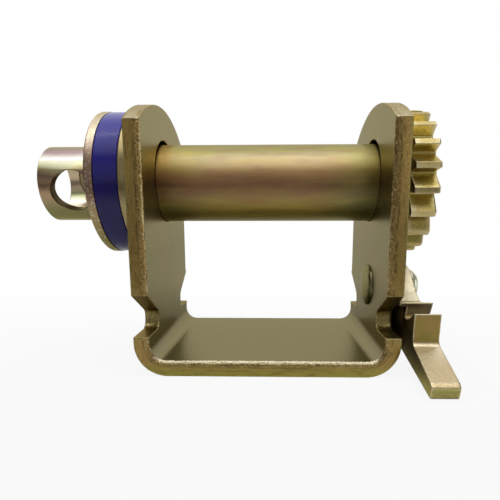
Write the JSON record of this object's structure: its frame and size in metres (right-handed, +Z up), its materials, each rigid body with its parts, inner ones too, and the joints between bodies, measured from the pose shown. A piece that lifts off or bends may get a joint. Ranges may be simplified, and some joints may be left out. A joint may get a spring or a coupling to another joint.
{
  "type": "truck strap winch",
  "caption": "Truck strap winch: a bent plate frame carries a tube drum with a bar hole in its head, end discs with a plastic ring, a ratchet wheel and a swinging pawl.",
  "frame": {"origin": "middle of the frame's underside, where the base stands", "axes": "+X along the drum from the bar head to the ratchet wheel, +Y away from the pawl's tail, +Z up from the base"},
  "size_m": [0.2386, 0.1302, 0.1582],
  "materials": {
    "zinc_plate": "yellow chromate zinc plate on sheared steel plate, satin",
    "zinc_tube": "yellow chromate zinc plate on drawn steel tube, satin to bright",
    "zinc_disc": "yellow chromate zinc plate on punched steel discs",
    "zinc_wheel": "yellow chromate zinc plate on a cut steel wheel",
    "zinc_forged": "yellow chromate zinc plate on a rough forging",
    "zinc_rivet": "pale zinc plate on an upset rivet",
    "weld_bead": "plated weld bead",
    "blue_plastic": "glossy dark blue moulded plastic"
  },
  "bodies": {
    "frame": {"frame": "zinc_plate", "pawl_pin": "zinc_rivet", "pawl_washer": "zinc_rivet"},
    "drum": {"drum_tube": "zinc_tube", "outer_flange": "zinc_disc", "outer_flange_weld": "weld_bead", "spacer_ring": "blue_plastic", "inner_flange": "zinc_disc", "left_thrust_washer": "zinc_disc", "right_thrust_collar": "zinc_disc", "ratchet_wheel": "zinc_wheel", "ratchet_weld": "weld_bead"},
    "pawl": {"pawl": "zinc_forged"}
  },
  "joints": [
    {"name": "drum_spin", "type": "hinge", "parent": "frame", "child": "drum", "pos_m": [0, 0, 0.1118], "axis": [1, 0, 0], "continuous": true},
    {"name": "pawl_pivot", "type": "hinge", "parent": "frame", "child": "pawl", "pos_m": [0.084, -0.0035, 0.0458], "axis": [-1, 0, 0], "range_deg": [0, 63.5]}
  ]
}
